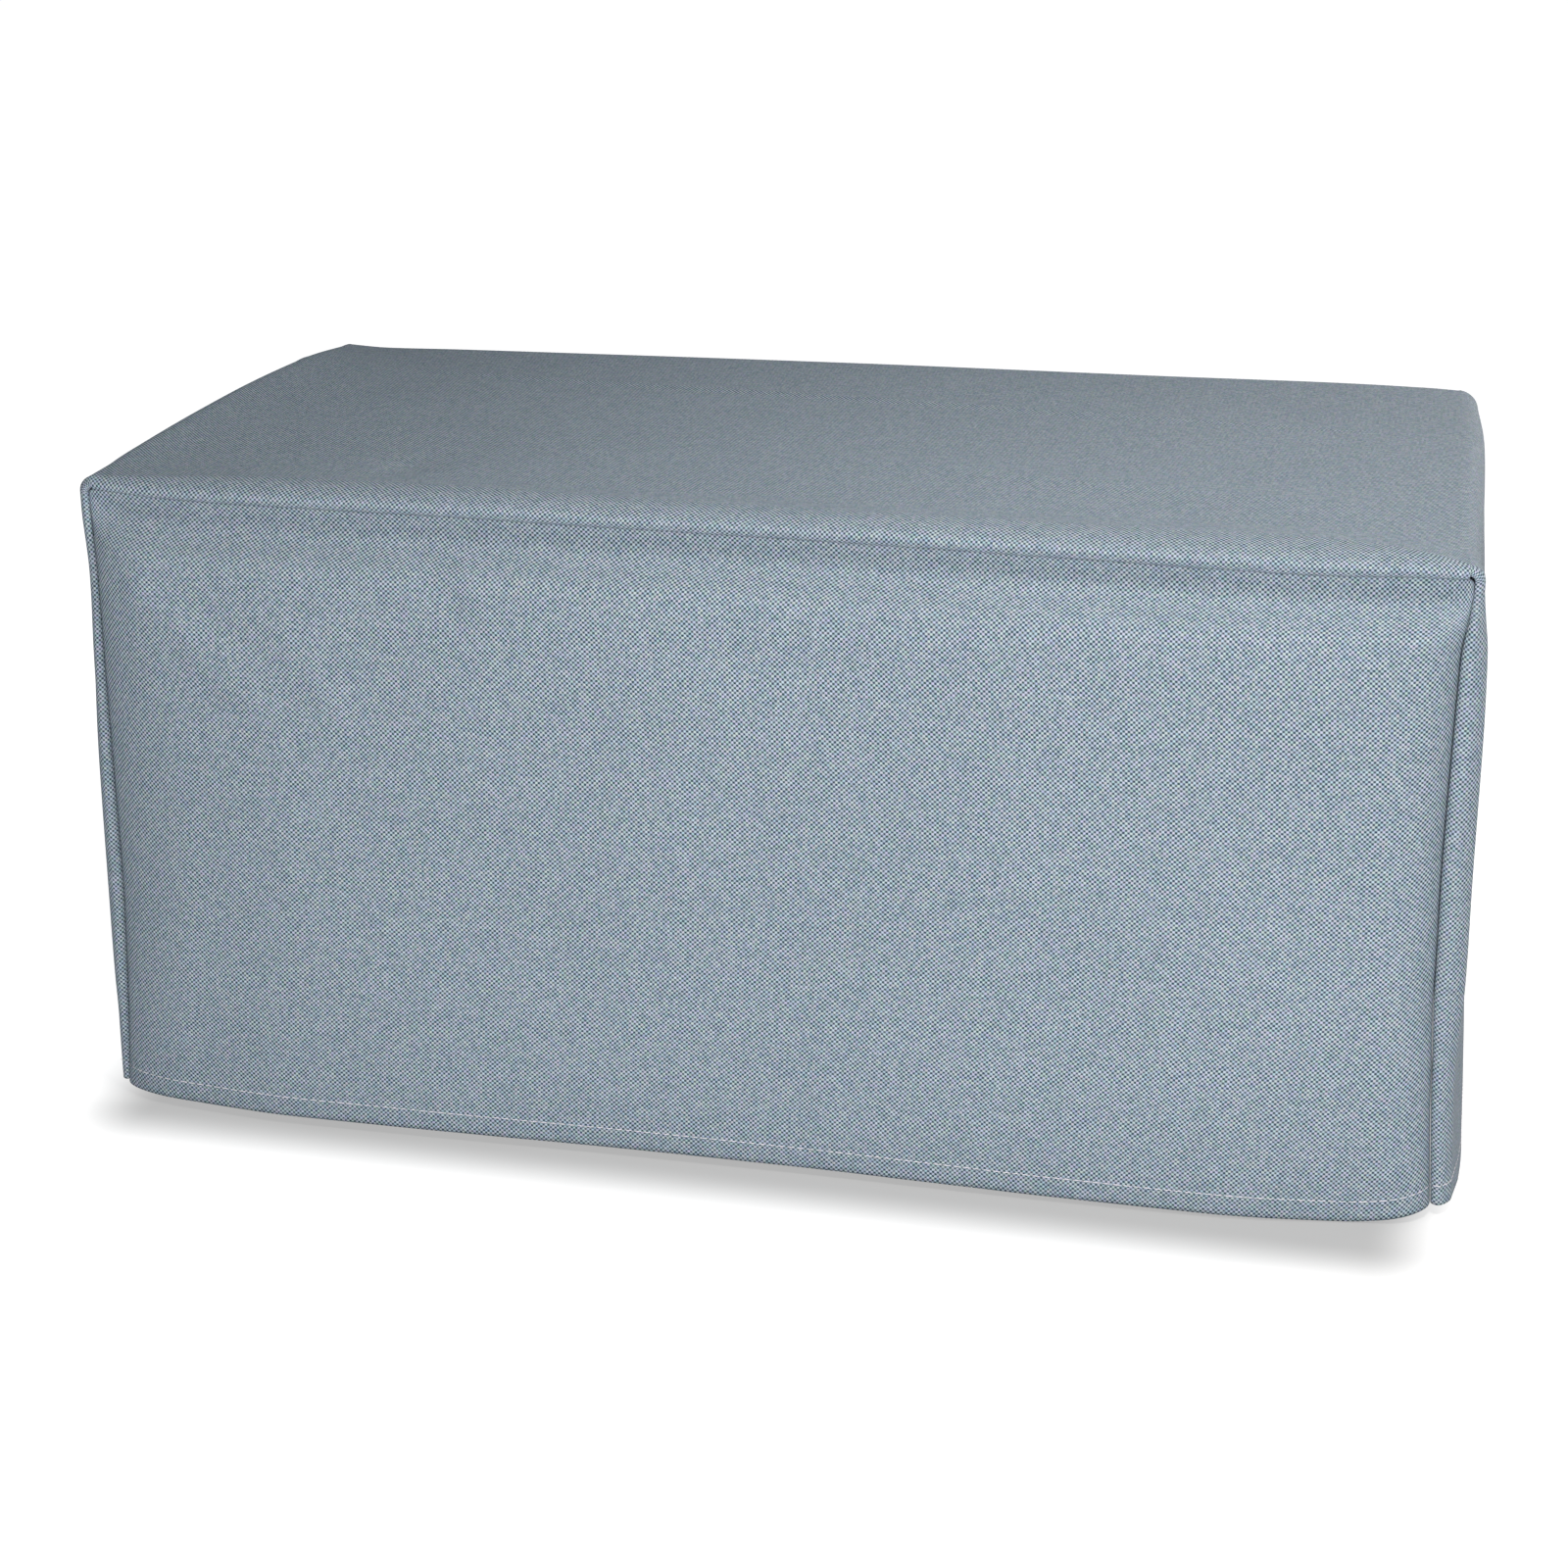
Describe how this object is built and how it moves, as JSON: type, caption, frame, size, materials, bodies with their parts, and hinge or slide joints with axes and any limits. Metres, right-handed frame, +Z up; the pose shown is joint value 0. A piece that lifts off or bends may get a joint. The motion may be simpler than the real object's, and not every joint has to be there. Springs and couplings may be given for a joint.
{
  "type": "printer dust cover",
  "caption": "Fitted cloth dust cover for a desktop printer: a front and a back panel sewn into one strip that wraps the sides and top, hemmed and open below",
  "frame": {"origin": "on the underside of the top, at its middle", "axes": "+X to the right along the long side, +Y to the back, +Z up"},
  "size_m": [0.4728, 0.2819, 0.2248],
  "materials": {
    "polyester_cloth": "matt plain weave"
  },
  "bodies": {
    "root": {"wrap_panel": "polyester_cloth", "front_panel": "polyester_cloth", "back_panel": "polyester_cloth"}
  },
  "joints": []
}
